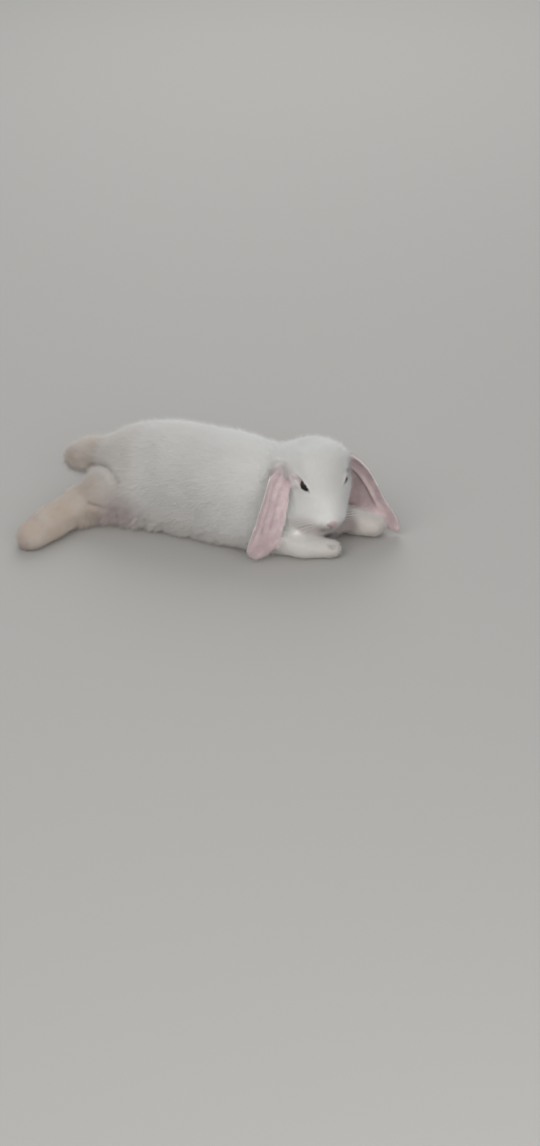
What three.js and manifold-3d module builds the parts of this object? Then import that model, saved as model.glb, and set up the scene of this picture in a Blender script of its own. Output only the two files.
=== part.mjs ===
// Small lop rabbit, life size, lying stretched out on its belly with its head low over its forepaws and
// turned to its right. Lengths in millimetres to the tips of the coat: +X runs toward the head, +Y to the
// rabbit's left, +Z up, and the floor is the plane z = 0.
import * as THREE from "three";
import Module from "manifold-3d";

const wasm = await Module();
wasm.setup();

const gap = 0.3; // clear space between two parts that meet
const smallest = 0.03; // detail finer than this is left out of a part
const degree = Math.PI / 180;
const at = (x, y, z) => new THREE.Vector3(x, y, z);

// ---------------------------------------------------------------- soft forms
// Each form is a function that gives the distance of a point outside it, negative inside.

// A bar with round ends whose radius changes evenly from one end to the other.
function bar(from, to, fromRadius, toRadius) {
  const along = to.clone().sub(from);
  const length2 = along.lengthSq();
  return (p) => {
    const t = THREE.MathUtils.clamp(p.clone().sub(from).dot(along) / length2, 0, 1);
    const nearest = from.clone().addScaledVector(along, t);
    return p.distanceTo(nearest) - THREE.MathUtils.lerp(fromRadius, toRadius, t);
  };
}

// An egg with half lengths along three axes of its own, which a frame turns and places.
function egg(frame, centre, halves) {
  const inward = frame.clone().invert();
  return (p) => {
    const q = p.clone().applyMatrix4(inward).sub(centre);
    const near = q.clone().divide(halves).length();
    const steep = q.divide(halves.clone().multiply(halves)).length();
    return steep === 0 ? -Math.min(halves.x, halves.y, halves.z) : (near * (near - 1)) / steep;
  };
}

// Forms run together with a fillet of about the given size.
function merge(fillet, ...forms) {
  return (p) =>
    forms
      .map((form) => form(p))
      .reduce((a, b) => {
        const h = Math.max(fillet - Math.abs(a - b), 0) / fillet;
        return Math.min(a, b) - (h * h * fillet) / 4;
      });
}

// ------------------------------------------------------------------ surfaces

// The closed surface of a form inside a box, as a solid: one point in each cell that the surface crosses.
function solidOf(form, low, high, cell) {
  const size = high.clone().sub(low);
  const n = [size.x, size.y, size.z].map((length) => Math.ceil(length / cell) + 1);
  const index = (i, j, k) => (k * n[1] + j) * n[0] + i;
  const place = (i, j, k) => at(low.x + i * cell, low.y + j * cell, low.z + k * cell);
  const value = new Float64Array(n[0] * n[1] * n[2]);
  for (let k = 0; k < n[2]; k++)
    for (let j = 0; j < n[1]; j++)
      for (let i = 0; i < n[0]; i++) {
        const edge = [i, j, k].some((step, axis) => step === 0 || step === n[axis] - 1);
        value[index(i, j, k)] = edge ? cell : form(place(i, j, k));
      }

  const corners = [0, 1, 2, 3, 4, 5, 6, 7].map((c) => [c & 1, (c >> 1) & 1, c >> 2]);
  const vertices = [];
  const vertexOf = new Map();
  for (let k = 0; k < n[2] - 1; k++)
    for (let j = 0; j < n[1] - 1; j++)
      for (let i = 0; i < n[0] - 1; i++) {
        const crossing = crossings(corners, (c) => value[index(i + c[0], j + c[1], k + c[2])]);
        if (!crossing) continue;
        vertexOf.set(index(i, j, k), vertices.length);
        vertices.push(crossing.multiplyScalar(cell).add(place(i, j, k)));
      }
  vertices.forEach((v) => settle(form, v, cell / 3));

  const faces = [];
  const steps = [
    [1, 0, 0],
    [0, 1, 0],
    [0, 0, 1],
  ];
  for (let k = 0; k < n[2] - 1; k++)
    for (let j = 0; j < n[1] - 1; j++)
      for (let i = 0; i < n[0] - 1; i++)
        steps.forEach(([di, dj, dk], axis) => {
          const inside = value[index(i, j, k)] < 0;
          if (inside === value[index(i + di, j + dj, k + dk)] < 0) return;
          const [b, c] = [steps[(axis + 1) % 3], steps[(axis + 2) % 3]];
          const ring = [
            [0, 0],
            [1, 0],
            [1, 1],
            [0, 1],
          ].map(([s, t]) =>
            vertexOf.get(index(i - s * b[0] - t * c[0], j - s * b[1] - t * c[1], k - s * b[2] - t * c[2])),
          );
          if (!inside) ring.reverse();
          const short =
            vertices[ring[0]].distanceTo(vertices[ring[2]]) < vertices[ring[1]].distanceTo(vertices[ring[3]]);
          const [p, q, r, s] = short ? ring : [ring[1], ring[2], ring[3], ring[0]];
          faces.push(p, q, r, p, r, s);
        });
  return solidFrom(vertices, faces);
}

// The mean of the points where a form crosses the edges of a cell with unit sides, or nothing.
function crossings(corners, valueAt) {
  const sum = at(0, 0, 0);
  let count = 0;
  corners.forEach((a, m) =>
    corners.slice(m + 1).forEach((b) => {
      if (Math.abs(a[0] - b[0]) + Math.abs(a[1] - b[1]) + Math.abs(a[2] - b[2]) !== 1) return;
      const [va, vb] = [valueAt(a), valueAt(b)];
      if (va < 0 === vb < 0) return;
      sum.add(at(...a).lerp(at(...b), va / (va - vb)));
      count++;
    }),
  );
  return count ? sum.divideScalar(count) : null;
}

// Moves a point onto the surface of a form, by no more than a given reach at a time.
function settle(form, point, reach) {
  const step = 0.5;
  for (let round = 0; round < 3; round++) {
    const here = form(point);
    const slope = at(
      form(point.clone().add(at(step, 0, 0))) - here,
      form(point.clone().add(at(0, step, 0))) - here,
      form(point.clone().add(at(0, 0, step))) - here,
    ).divideScalar(step);
    const steep = Math.max(slope.lengthSq(), 0.05);
    point.addScaledVector(slope, THREE.MathUtils.clamp(-here / steep, -reach, reach));
  }
}

function solidFrom(vertices, faces) {
  const vertProperties = new Float32Array(vertices.flatMap((v) => [v.x, v.y, v.z]));
  return new wasm.Manifold(new wasm.Mesh({ numProp: 3, vertProperties, triVerts: new Uint32Array(faces) }));
}

// What is left of a solid above the floor, so that it rests on a flat there.
const onFloor = (solid) => solid.trimByPlane([0, 0, 1], 0);

// ------------------------------------------------------------------- colours
const coat = 0xe9e6df;
const pinkSkin = 0xd9b0a8;
const eyeBlack = 0x17110f;

const rabbit = new THREE.Group();
function add(name, solid, colour) {
  const mesh = solid.simplify(smallest).getMesh();
  const geometry = new THREE.BufferGeometry();
  geometry.setAttribute("position", new THREE.BufferAttribute(mesh.vertProperties, 3));
  geometry.setIndex(new THREE.BufferAttribute(mesh.triVerts, 1));
  const body = new THREE.Mesh(geometry, new THREE.MeshStandardMaterial({ color: colour, roughness: 0.9 }));
  body.name = name;
  rabbit.add(body);
}

// --------------------------------------------------------------------- trunk
// The body lies along the X axis. Rump, loin and shoulders are eggs, and the slack flanks spread on the
// floor along both sides.
const level = new THREE.Matrix4();
const rump = egg(level, at(-84, 44, 55), at(50, 50, 48.5));
const loin = egg(level, at(-26, 45, 59), at(88, 55, 63));
const shoulders = egg(level, at(44, 44, 58), at(64, 57, 62));
const breast = egg(level, at(100, 42, 38), at(36, 40, 36));
const dewlap = merge(
  10,
  egg(level, at(124, 35, 24), at(33, 27, 25)),
  bar(at(134, 50, 18), at(160, 62, 13), 18, 14),
);
const nearFlank = merge(
  14,
  bar(at(-112, 16, 15), at(-20, 20, 17), 18, 20),
  bar(at(-20, 20, 17), at(78, 8, 18), 20, 20),
);
const farFlank = bar(at(-90, 68, 17), at(72, 72, 17), 19, 20);
const thigh = (side) => bar(at(-80, 46 - side * 22, 44), at(-110, 46 - side * 32, 40), 34, 27);
const bosom = merge(12, breast, dewlap);
const trunk = merge(26, rump, loin, shoulders, bosom, merge(10, nearFlank, farFlank));

// ------------------------------------------------------------- tail and legs
const tail = merge(
  10,
  bar(at(-108, 44, 70), at(-150, 48, 60), 27, 20),
  bar(at(-150, 48, 60), at(-172, 50, 53), 19.5, 16),
);

// The right hind leg is stretched back and turned out: the hock is behind the rump and the toes point
// away from the body.
const rightHock = at(-142, -2, 20);
const rightHindLeg = merge(
  8,
  bar(at(-108, 16, 34), rightHock, 28, 22),
  bar(rightHock, at(-160, -54, 14), 22, 19.5),
  bar(at(-160, -54, 14), at(-167, -82, 12), 19.5, 18),
);

// The left hind leg lies along the far side under the tail, with the sole on the floor.
const leftHock = at(-122, 78, 17);
const leftHindLeg = merge(
  8,
  bar(at(-100, 68, 30), leftHock, 24, 16),
  bar(leftHock, at(-156, 86, 9), 16, 11),
);

// --------------------------------------------------------------- head and neck
// The head is turned to the right and nods down. Its own axes run forward, to its left and up.
const headCentre = at(140, 60, 77);
const headYaw = -47 * degree;
const headNod = 32 * degree;
const headFrame = new THREE.Matrix4()
  .makeTranslation(headCentre)
  .multiply(new THREE.Matrix4().makeRotationZ(headYaw))
  .multiply(new THREE.Matrix4().makeRotationY(headNod));
const onHead = (x, y, z) => at(x, y, z).applyMatrix4(headFrame);

const skull = egg(headFrame, at(-6, 0, 3), at(36, 35, 37));
const crown = egg(headFrame, at(-6, 2, 29.5), at(19, 31, 15.5));
const face = merge(
  14,
  bar(onHead(8, 0, -1), onHead(44, 0, -9), 29, 17),
  bar(onHead(14, 15, -14), onHead(42, 9, -15), 20, 14.5),
  bar(onHead(14, -15, -14), onHead(42, -9, -15), 20, 14.5),
);
const nose = egg(headFrame, at(52, 0, -7), at(9, 8, 8));
const chin = bar(onHead(18, 0, -24), onHead(44, 0, -27), 16, 9);
const head = merge(14, merge(10, skull, crown), merge(6, face, nose), chin);
const neck = bar(at(74, 50, 66), onHead(-20, 0, -6), 42, 30);

const body = merge(12, merge(16, trunk, thigh(1), thigh(-1)), rightHindLeg, leftHindLeg);
const whole = merge(14, merge(10, body, tail), neck, head);

// ------------------------------------------------------------------- forelegs
const rightForearm = bar(at(98, 10, 17), at(140, 8, 12), 20, 12.5);
const rightForepaw = bar(at(140, 8, 11), at(173, 20, 9.5), 13, 11.5);
const rightForeleg = merge(6, rightForearm, rightForepaw);
const leftForearm = bar(at(128, 79, 26), at(172, 82, 15), 19, 15);
const leftForepaw = bar(at(172, 82, 14), at(199, 84, 12), 15.5, 14);
const leftForeleg = merge(6, leftForearm, leftForepaw);

// ------------------------------------------------------------------------ ears
// An ear is a scooped blade hung from the side of the head: a thick roll at the root, broadest past the
// middle and round at the tip, where it may be slimmer. Its breadth is laid along one direction, and the
// hollow faces another. It may flare towards the cheek.
const earRings = 15;
const earRound = 14;
const earBreadth = [24, 30, 37, 42, 45, 45, 44, 43, 42];
const earThickness = [16, 11, 7, 6, 5, 5, 5, 5, 4];
const earScoop = [2, 8, 10, 9, 8, 7, 5, 3, 0];
const earTip = 0.22; // share of the ear's length over which it rounds off to the tip

function pick(values, t) {
  const s = t * (values.length - 1);
  const i = Math.min(Math.floor(s), values.length - 2);
  return THREE.MathUtils.lerp(values[i], values[i + 1], s - i);
}

function ear(path, across, faces, slim, flare) {
  const line = new THREE.CatmullRomCurve3(path);
  const vertices = [];
  for (let ring = 0; ring <= earRings; ring++) {
    const t = 1 - (1 - ring / earRings) ** 1.4;
    const down = line.getTangent(t);
    const broad = across.clone().addScaledVector(down, -across.dot(down)).normalize();
    const open = broad.clone().cross(down);
    open.multiplyScalar(Math.sign(open.dot(faces)));
    const last = Math.max(t - 1 + earTip, 0) / earTip;
    const round = Math.sqrt(1 - 0.98 * last * last);
    for (let step = 0; step < earRound; step++) {
      const turn = (2 * Math.PI * step) / earRound;
      const side = Math.cos(turn);
      const lift = pick(earScoop, t) * (side * side - 1) + (pick(earThickness, t) / 2) * Math.sin(turn);
      const wide = side < 0 ? 1 + flare * Math.sin(Math.PI * t) ** 2 : 1;
      const half = (round * wide * pick(earBreadth, t) * THREE.MathUtils.lerp(1, slim, t)) / 2;
      const point = line.getPoint(t).addScaledVector(broad, side * half);
      vertices.push(point.addScaledVector(open, lift));
    }
  }
  const triangles = [];
  for (let ring = 0; ring < earRings; ring++)
    for (let step = 0; step < earRound; step++) {
      const a = ring * earRound + step;
      const b = ring * earRound + ((step + 1) % earRound);
      triangles.push(a, b, b + earRound, a, b + earRound, a + earRound);
    }
  for (let step = 1; step < earRound - 1; step++) {
    const last = earRings * earRound;
    triangles.push(0, step + 1, step, last, last + step, last + step + 1);
  }
  const made = solidFrom(vertices, triangles);
  return made.volume() > 0 ? made : solidFrom(vertices, triangles.reverse());
}

const rightEar = ear(
  [at(112, 36, 103), at(116, 5, 84), at(114, -14, 54), at(107, -23, 28), at(95, -25, 3)],
  at(0.5, 0.74, -0.42),
  at(0.8, -0.5, 0),
  1,
  0,
);
const leftEar = ear(
  [at(155, 85, 98), at(180, 85, 76), at(201, 83, 43), at(227, 92, 4)],
  at(0.7, -0.16, 0.69),
  at(0, -1, 0),
  0.66,
  0.85,
);

// ------------------------------------------------------------------------ eyes
const eyeRadius = 8.2;
const eyePlace = (side) => onHead(14.8, -side * 20.4, 14);
const eye = (side, radius) => wasm.Manifold.sphere(radius, 16).translate(eyePlace(side).toArray());

// --------------------------------------------------------------- parting planes
// The body is parted by planes. A region is all that lies on the near side of some of them, and margin
// moves each of its planes inward.
const room = wasm.Manifold.cube([700, 500, 400], true);
function region(planes, margin) {
  return planes.reduce((solid, [point, way]) => {
    const n = way.clone().normalize();
    return solid.trimByPlane([n.x, n.y, n.z], n.dot(point) + margin);
  }, room);
}
const part = (solid, planes) => solid.intersect(region(planes, gap / 2));
const rest = (solid, planes) => solid.subtract(region(planes, -gap / 2));

const forward = at(1, 0, 0);
const backward = at(-1, 0, 0);
const neckWay = at(0.9, -0.1, 0.2);
const throat = [at(118, 46, 50), at(0.62, -0.1, 0.78)];
const headRegion = [[at(106, 58, 76), neckWay], throat];
const neckRegion = [
  [at(86, 56, 76), neckWay],
  [at(100, 50, 46), at(0.2, 0, 1)],
];
const hindRegion = [[at(-70, 0, 0), backward]];
const frontRegion = [[at(20, 0, 0), forward]];
const tailRegion = [
  [at(-130, 0, 0), backward],
  [at(0, 0, 38), at(0, 0, 1)],
  [at(0, 15, 0), at(0, 1, 0)],
];
const rightFootRegion = [[at(-122, 2, 0), at(-0.6, -0.8, 0)]];
const leftFootRegion = [
  [at(-120, 0, 0), backward],
  [at(0, 62, 0), at(0, 1, 0)],
  [at(0, 0, 33), at(0, 0, -1)],
];
const rightThighRegion = [[at(0, 18, 40), at(0, -1, 0.1)]];
const leftThighRegion = [[at(0, 70, 40), at(0, 1, 0.1)]];

// --------------------------------------------------------------------- solids
const grow = (form) => (p) => form(p) - gap * 5;
const bodyBox = [at(-216, -120, -9), at(214, 134, 145)];
const hindBox = [at(-219, -122, -9), at(-100, 130, 100)];
const frontBox = [at(60, -30, -9), at(214, 134, 150)];
const headBox = [at(74, -30, -6), at(214, 134, 150)];
const torso = onFloor(solidOf(whole, ...bodyBox, 11.5));
const hindEnd = onFloor(solidOf(whole, ...hindBox, 8.6));
const frontRoom = solidOf(grow(whole), ...frontBox, 7);
const clear = (solid) => onFloor(largest(solid.subtract(frontRoom)));
const largest = (solid) => solid.decompose().sort((a, b) => b.volume() - a.volume())[0];

const headAll = part(solidOf(whole, ...headBox, 6.85), headRegion);
const headSolid = headAll.subtract(eye(1, eyeRadius + gap)).subtract(eye(-1, eyeRadius + gap));
const front = part(torso, frontRegion);
const frontBody = largest(rest(front, headRegion));
const hind = rest(rest(rest(part(torso, hindRegion), tailRegion), rightFootRegion), leftFootRegion);

add("head", headSolid, coat);
add("neck", part(frontBody, neckRegion), coat);
add("chest", rest(frontBody, neckRegion), coat);
add("loin", rest(rest(torso, frontRegion), hindRegion), coat);
add("rump", largest(rest(rest(hind, rightThighRegion), leftThighRegion)), coat);
add("tail", part(hindEnd, tailRegion), coat);
add("thigh_right", part(hind, rightThighRegion), coat);
add("thigh_left", part(hind, leftThighRegion), coat);
add("hind_foot_right", part(rest(hindEnd, tailRegion), rightFootRegion), coat);
add("hind_foot_left", part(rest(hindEnd, tailRegion), leftFootRegion), coat);
const rightLegBox = [at(70, -20, -9), at(194, 42, 44)];
const leftLegBox = [at(100, 52, -9), at(226, 112, 54)];
const rightPawRegion = [[at(142, 8, 0), at(1, 0.15, 0)]];
const leftPawRegion = [[at(172, 80, 0), at(1, 0.1, 0)]];
const rightLeg = clear(solidOf(rightForeleg, ...rightLegBox, 7.8));
const leftLeg = clear(solidOf(leftForeleg, ...leftLegBox, 7.8));
const rightLegRoom = solidOf(grow(rightForeleg), ...rightLegBox, 7.8);
const leftLegRoom = solidOf(grow(leftForeleg), ...leftLegBox, 7.8);
add("forearm_right", rest(rightLeg, rightPawRegion), coat);
add("forepaw_right", part(rightLeg, rightPawRegion), coat);
add("forearm_left", rest(leftLeg, leftPawRegion), coat);
add("forepaw_left", part(leftLeg, leftPawRegion), coat);
add("ear_right", clear(rightEar.subtract(rightLegRoom)), pinkSkin);
add("ear_left", clear(leftEar.subtract(leftLegRoom)), pinkSkin);
add("eye_right", eye(1, eyeRadius), eyeBlack);
add("eye_left", eye(-1, eyeRadius), eyeBlack);

// The origin is on the floor under the middle of the animal.
const extent = new THREE.Box3().setFromObject(rabbit);
const middle = extent.getCenter(at(0, 0, 0));
rabbit.position.set(-middle.x, -middle.y, -extent.min.z);

export default rabbit;
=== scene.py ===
import math

import bpy
import numpy as np
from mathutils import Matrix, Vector
from mathutils.bvhtree import BVHTree


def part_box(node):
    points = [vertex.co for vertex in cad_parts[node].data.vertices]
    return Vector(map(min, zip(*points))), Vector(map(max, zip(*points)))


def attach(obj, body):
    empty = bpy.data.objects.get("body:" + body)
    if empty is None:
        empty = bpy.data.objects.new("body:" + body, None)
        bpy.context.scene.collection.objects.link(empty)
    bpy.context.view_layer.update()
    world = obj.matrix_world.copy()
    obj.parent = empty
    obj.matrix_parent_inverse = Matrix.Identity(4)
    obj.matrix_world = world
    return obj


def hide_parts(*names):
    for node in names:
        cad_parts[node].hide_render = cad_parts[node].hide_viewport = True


# A lop rabbit, life size, stretched out on its belly with its head turned to its right side.
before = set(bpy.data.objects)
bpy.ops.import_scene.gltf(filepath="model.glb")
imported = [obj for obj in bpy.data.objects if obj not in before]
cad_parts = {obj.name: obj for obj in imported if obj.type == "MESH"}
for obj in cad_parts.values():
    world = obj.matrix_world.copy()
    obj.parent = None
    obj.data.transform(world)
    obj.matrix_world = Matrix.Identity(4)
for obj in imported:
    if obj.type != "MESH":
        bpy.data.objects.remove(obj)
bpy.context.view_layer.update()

# ---- camera -------------------------------------------------------------------------------
# The viewer stands some two and a half metres off the right side and looks down on the animal.
# Places on the body are in millimetres from a point on the floor under the loin.

RIGHT_EYE = np.array((138.70, 31.48, 81.03)) / 1000  # middle of the right eye, from that point
VIEWER_PLACE = (1170.99, -2292.05, 1436.63)
VIEWER_TURNS = (59.925, 1.904, 23.898)  # degrees: up from straight down, roll, and to the left
VIEWER_LENS = 78.53  # millimetres

eye_low, eye_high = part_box("eye_right")
UNDER_LOIN = np.array((eye_low + eye_high) / 2) - RIGHT_EYE


def at(x, y, z):
    return np.array((x, y, z)) / 1000 + UNDER_LOIN


bpy.ops.object.select_all(action="DESELECT")
bpy.ops.object.camera_add(
    location=at(*VIEWER_PLACE),
    rotation=[math.radians(turn) for turn in VIEWER_TURNS],
)
camera = bpy.context.object
camera.name = "viewer"
camera.data.lens = VIEWER_LENS
bpy.context.scene.camera = camera

# ---- skin ---------------------------------------------------------------------------------
# One hide over the whole animal: trunk, head, ears, legs and tail without a seam. It lies
# inside the outline by the depth of the coat, and is pink where the hair is thin.

FLESH = [
    "head", "neck", "chest", "loin", "rump", "tail", "thigh_right", "thigh_left",
    "hind_foot_right", "hind_foot_left", "forearm_right", "forepaw_right",
    "forearm_left", "forepaw_left", "ear_right", "ear_left",
]
WEAVE = 0.0018  # side of one face of the hide
OVERLAP = 0.0005  # each part swells by this so that the parts grow into one

# The head's own axes: along the nose, out of the left cheek, and out of the crown.
NOSEWARD = np.array((0.5784, -0.6202, -0.5299))
LEFTWARD = np.array((0.7314, 0.6820, 0.0))
CROWNWARD = np.array((0.3614, -0.3876, 0.8480))
HEAD = at(140, 60, 77)


def on_head(along, left, up):
    return HEAD + (along * NOSEWARD + left * LEFTWARD + up * CROWNWARD) / 1000


# Lines that the hair follows, from the nose to the tail, and down each leg and ear.
SPINE = [at(118, 46, 66), at(60, 44, 60), at(0, 44, 58), at(-90, 44, 56), at(-125, 46, 64)]
RIGHT_ARM = [at(84, 14, 50), at(98, 10, 17), at(140, 8, 12), at(171, 19, 10), at(176, 21, 1)]
LEFT_ARM = [at(100, 70, 50), at(128, 78, 26), at(172, 82, 15), at(197, 84, 12), at(203, 84, 1)]
RIGHT_LEG = [
    at(-60, 22, 60), at(-108, 16, 34), at(-142, -2, 20),
    at(-160, -54, 14), at(-167, -80, 12), at(-169, -88, 1),
]
LEFT_LEG = [at(-60, 66, 60), at(-100, 68, 30), at(-122, 78, 17), at(-154, 85, 10), at(-159, 87, 1)]
TAIL = [at(-84, 44, 68), at(-112, 44, 68), at(-150, 48, 60), at(-174, 50, 54), at(-184, 50, 40)]
FACE = [on_head(62, 0, -8), on_head(20, 0, 4), on_head(-40, 0, 8)]
RIGHT_EAR = [at(112, 36, 103), at(116, 5, 84), at(114, -14, 54), at(107, -23, 28), at(95, -25, 3)]
LEFT_EAR = [at(155, 85, 98), at(180, 85, 76), at(201, 83, 43), at(227, 92, 4)]
DROOP = np.array((0, 0, -0.2))  # the hair also hangs a little
# How the hair grows on each part: the line it follows, the depth of the coat and the length of
# a lock in millimetres, its lean off the skin in degrees, its width in millimetres, and how
# thickly the locks stand.
GROWTH = {
    "head": (FACE, 2.2, 7.5, 22, 0.40, 1.6),
    "neck": (SPINE, 4.0, 10.5, 22, 0.50, 1.0),
    "chest": (SPINE, 4.0, 11.0, 22, 0.52, 1.0),
    "loin": (SPINE, 4.0, 11.0, 22, 0.52, 1.0),
    "rump": (SPINE, 4.0, 11.0, 22, 0.52, 1.0),
    "tail": (TAIL, 4.2, 12.5, 26, 0.52, 1.2),
    "thigh_right": (RIGHT_LEG, 3.8, 10.5, 22, 0.50, 1.0),
    "thigh_left": (LEFT_LEG, 3.8, 10.5, 22, 0.50, 1.0),
    "hind_foot_right": (RIGHT_LEG, 2.6, 8.0, 23, 0.42, 1.3),
    "hind_foot_left": (LEFT_LEG, 2.4, 8.0, 23, 0.42, 1.0),
    "forearm_right": (RIGHT_ARM, 2.4, 8.0, 22, 0.42, 1.3),
    "forepaw_right": (RIGHT_ARM, 1.8, 6.0, 22, 0.36, 1.6),
    "forearm_left": (LEFT_ARM, 2.4, 8.0, 22, 0.42, 1.3),
    "forepaw_left": (LEFT_ARM, 1.8, 6.0, 22, 0.36, 1.6),
    "ear_right": (RIGHT_EAR, 0.7, 4.0, 10, 0.30, 2.0),
    "ear_left": (LEFT_EAR, 0.7, 4.0, 10, 0.30, 2.0),
}


def take(*pieces):
    """Selects these pieces, and makes the first of them active."""
    bpy.ops.object.select_all(action="DESELECT")
    for piece in pieces:
        piece.select_set(True)
    bpy.context.view_layer.objects.active = pieces[0]


def work_on_all(tool, **settings):
    """Runs one mesh tool on every face of the active piece."""
    bpy.ops.object.mode_set(mode="EDIT")
    bpy.ops.mesh.select_all(action="SELECT")
    tool(**settings)
    bpy.ops.object.mode_set(mode="OBJECT")


bpy.ops.object.select_all(action="DESELECT")
copies = []
for name in FLESH:
    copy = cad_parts[name].copy()
    copy.data = copy.data.copy()
    for key in list(copy.keys()):
        del copy[key]
    bpy.context.collection.objects.link(copy)
    copy.parent = None
    copies.append(copy)
EYEBALL = 0.0082  # radius
SOCKET_FILL = 0.0008  # how far the fill of a socket stands past the eyeball
EYES = {"right": on_head(14.8, -20.4, 14.0), "left": on_head(14.8, 20.4, 14.0)}
for centre in EYES.values():  # the sockets are filled, and the lids are shaped on the fill
    bpy.ops.mesh.primitive_uv_sphere_add(
        segments=24, ring_count=12, radius=EYEBALL + SOCKET_FILL, location=centre
    )
    bpy.ops.object.transform_apply()
    copies.append(bpy.context.object)
take(*copies)
bpy.ops.object.mode_set(mode="EDIT")
bpy.ops.mesh.select_all(action="SELECT")
bpy.ops.mesh.remove_doubles(threshold=0.00001)
bpy.ops.transform.shrink_fatten(value=OVERLAP)
bpy.ops.object.mode_set(mode="OBJECT")
bpy.ops.object.join()
skin = bpy.context.object
skin.name = skin.data.name = "skin"
skin.data.materials.clear()


def finish_with(piece, kind, **settings):
    """Adds one modifier to a piece and applies it."""
    take(piece)
    bpy.ops.object.modifier_add(type=kind)
    modifier = piece.modifiers[-1]
    for key, value in settings.items():
        setattr(modifier, key, value)
    bpy.ops.object.modifier_apply(modifier=modifier.name)


finish_with(skin, "REMESH", mode="VOXEL", voxel_size=WEAVE)


def column(items, label, wide, kind=np.float32):
    """One property of a mesh's vertices, edges or faces, as rows of this many numbers."""
    found = np.empty(len(items) * wide, kind)
    items.foreach_get(label, found)
    return found.reshape(-1, wide)


def places(piece):
    return column(piece.data.vertices, "co", 3).astype(float)


def normals_of(piece):
    return column(piece.data.vertex_normals, "vector", 3).astype(float)


def edges_of(piece):
    return column(piece.data.edges, "vertices", 2, np.int32)


def put(piece, spots):
    """Moves the piece's vertices to these places."""
    piece.data.vertices.foreach_set("co", spots.astype(np.float32).ravel())
    piece.data.update()


def unit(vectors):
    return vectors / np.maximum(np.linalg.norm(vectors, axis=-1, keepdims=True), 1e-12)


def ease(low, high, value):
    """0 below low, 1 above high, and a soft step between."""
    t = np.clip((value - low) / (high - low), 0, 1)
    return t * t * (3 - 2 * t)


def nearest_part(spots):
    """The number in FLESH of the part whose outline is nearest to each spot."""
    corners, faces, owner = [], [], []
    for number, name in enumerate(FLESH):
        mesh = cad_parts[name].data
        first = len(corners)
        corners.extend(v.co for v in mesh.vertices)
        for face in mesh.polygons:
            faces.append([first + v for v in face.vertices])
            owner.append(number)
    tree = BVHTree.FromPolygons(corners, faces)
    return np.array([owner[tree.find_nearest(Vector(spot))[2]] for spot in spots])


def evened(values, edges, times):
    """Spreads values on vertices over their neighbours, so that they change softly."""
    spread = 0.6  # the neighbours' share in each pass
    one, other = edges[:, 0], edges[:, 1]
    count = len(values)
    share = np.bincount(one, minlength=count) + np.bincount(other, minlength=count)
    flat = values.reshape(count, -1)
    for _ in range(times):
        total = np.stack(
            [
                np.bincount(one, flat[other, k], count) + np.bincount(other, flat[one, k], count)
                for k in range(flat.shape[1])
            ],
            1,
        )
        flat = (1 - spread) * flat + spread * total / np.maximum(share, 1)[:, None]
    return flat.reshape(values.shape)


def beside(spots, line):
    """Direction of the nearest stretch of a line of points, and the gap to it in millimetres."""
    line = np.array(line)
    best = np.full(len(spots), np.inf)
    way = np.zeros((len(spots), 3))
    for start, end in zip(line[:-1], line[1:]):
        run = end - start
        share = np.clip((spots - start) @ run / (run @ run), 0, 1)
        gap = np.linalg.norm(spots - start - share[:, None] * run, axis=1)
        nearer = gap < best
        best = np.where(nearer, gap, best)
        way[nearer] = run / np.linalg.norm(run)
    return way, best * 1000


def away(spot):
    """Millimetres from each vertex to a spot."""
    return np.linalg.norm(spots - spot, axis=1) * 1000


# The facets of the solids are smoothed away, least on the thin ears and the toes, and most
# where the ears, the tail and the throat run into the body.
spots, edges = places(skin), edges_of(skin)
part = nearest_part(spots)
BODY_RATE = 0.8
SMOOTHING = {
    "ear_right": 0.2, "ear_left": 0.2, "forepaw_right": 0.4, "forepaw_left": 0.4, "head": 0.45,
}
SMOOTH_PASSES, JOIN_PASSES = 42, 200
JOIN_RATE = 0.9
# Each place where parts run together, and how far round it, in millimetres, the smoothing is
# full and where it ends: the roots of the ears and the tail, the throat, and the top of the
# near forearm.
JOINS = (
    (at(112, 30, 98), 13, 28), (LEFT_EAR[0], 8, 20), (TAIL[1], 20, 44),
    (at(160, 60, 26), 10, 26), (at(133, 12, 29), 5, 13),
)
rate = evened(np.array([SMOOTHING.get(FLESH[p], BODY_RATE) for p in part]), edges, 8)
for _ in range(SMOOTH_PASSES):
    spots += rate[:, None] * (evened(spots, edges, 1) - spots)
rate = JOIN_RATE * np.max([1 - ease(near, far, away(place)) for place, near, far in JOINS], axis=0)
for _ in range(JOIN_PASSES):
    spots += rate[:, None] * (evened(spots, edges, 1) - spots)
put(skin, spots)


def finer(piece, centre, reach, cuts):
    """Cuts the faces within reach of a point."""
    middle = column(piece.data.polygons, "center", 3)
    near = np.linalg.norm(middle - centre, axis=1) < reach
    take(piece)
    bpy.ops.object.mode_set(mode="EDIT")
    bpy.ops.mesh.select_mode(type="FACE")
    bpy.ops.mesh.select_all(action="DESELECT")
    bpy.ops.object.mode_set(mode="OBJECT")
    piece.data.polygons.foreach_set("select", near)
    bpy.ops.object.mode_set(mode="EDIT")
    bpy.ops.mesh.subdivide(number_cuts=cuts)
    bpy.ops.object.mode_set(mode="OBJECT")


# Lids, nostrils, lips and toes need finer faces than the rest.
NOSE = on_head(61, 0, -7)
MUZZLE = on_head(56, 0, -12)
TOES = (at(168, 18, 9.5), at(194, 83, 12), at(-166, -78, 12))
LID_REACH, MUZZLE_REACH, TOE_REACH = 0.0165, 0.0175, 0.017
for centre in EYES.values():
    finer(skin, centre, LID_REACH, 3)
finer(skin, MUZZLE, MUZZLE_REACH, 2)
for toe in TOES:
    finer(skin, toe, TOE_REACH, 1)

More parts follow.
